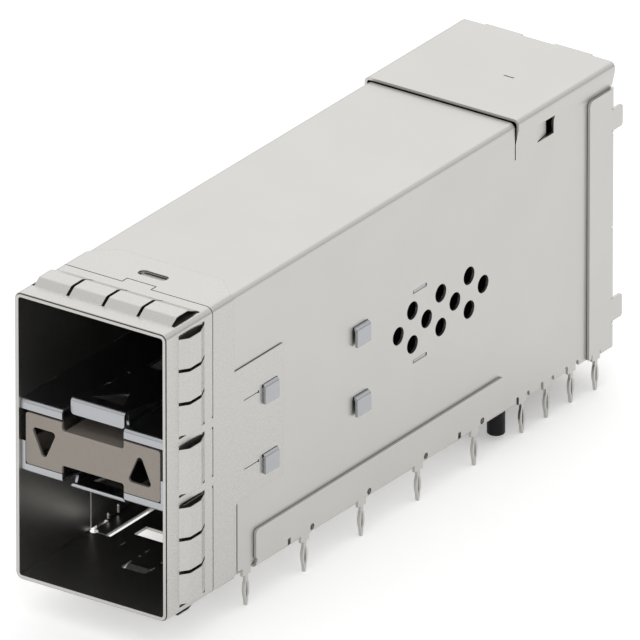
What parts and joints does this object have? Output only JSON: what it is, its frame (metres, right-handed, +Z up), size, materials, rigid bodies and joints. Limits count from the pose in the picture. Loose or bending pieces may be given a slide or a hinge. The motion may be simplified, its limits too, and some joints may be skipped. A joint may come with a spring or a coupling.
{
  "type": "pluggable module cage",
  "caption": "Stacked press-fit sheet-metal cage for small pluggable modules, with spring collar, latch dividers and a right-angle receptacle connector inside.",
  "frame": {"origin": "on the board's top face, midway between the connector's two board posts", "axes": "+X across the cage, +Y from the mouth to the rear cover, +Z up from the board"},
  "size_m": [0.0158, 0.064, 0.0287],
  "materials": {
    "plated_steel": "bright tin plate on cold-rolled sheet",
    "spring_band": "bright plated spring strip",
    "latch_plate": "plated latch sheet",
    "beige_plate": "satin warm grey",
    "black_resin": "moulded black glass-filled resin",
    "wafer_resin": "moulded dark resin",
    "contact_metal": "gold-plated copper alloy"
  },
  "bodies": {
    "root": {"cage_shell": "plated_steel", "floor_plate": "plated_steel", "rear_cover": "plated_steel", "front_collar": "spring_band", "upper_divider": "latch_plate", "lower_divider": "latch_plate", "front_plate": "beige_plate", "connector_housing": "black_resin", "wafer_01": "wafer_resin", "wafer_02": "wafer_resin", "wafer_03": "wafer_resin", "wafer_04": "wafer_resin", "wafer_05": "wafer_resin", "wafer_06": "wafer_resin", "wafer_07": "wafer_resin", "wafer_08": "wafer_resin", "wafer_09": "wafer_resin", "wafer_10": "wafer_resin", "contact_a01": "contact_metal", "contact_a02": "contact_metal", "contact_a03": "contact_metal", "contact_a04": "contact_metal", "contact_a05": "contact_metal", "contact_a06": "contact_metal", "contact_a07": "contact_metal", "contact_a08": "contact_metal", "contact_a09": "contact_metal", "contact_a10": "contact_metal", "contact_b01": "contact_metal", "contact_b02": "contact_metal", "contact_b03": "contact_metal", "contact_b04": "contact_metal", "contact_b05": "contact_metal", "contact_b06": "contact_metal", "contact_b07": "contact_metal", "contact_b08": "contact_metal", "contact_b09": "contact_metal", "contact_b10": "contact_metal", "contact_c01": "contact_metal", "contact_c02": "contact_metal", "contact_c03": "contact_metal", "contact_c04": "contact_metal", "contact_c05": "contact_metal", "contact_c06": "contact_metal", "contact_c07": "contact_metal", "contact_c08": "contact_metal", "contact_c09": "contact_metal", "contact_c10": "contact_metal", "contact_d01": "contact_metal", "contact_d02": "contact_metal", "contact_d03": "contact_metal", "contact_d04": "contact_metal", "contact_d05": "contact_metal", "contact_d06": "contact_metal", "contact_d07": "contact_metal", "contact_d08": "contact_metal", "contact_d09": "contact_metal", "contact_d10": "contact_metal"}
  },
  "joints": []
}
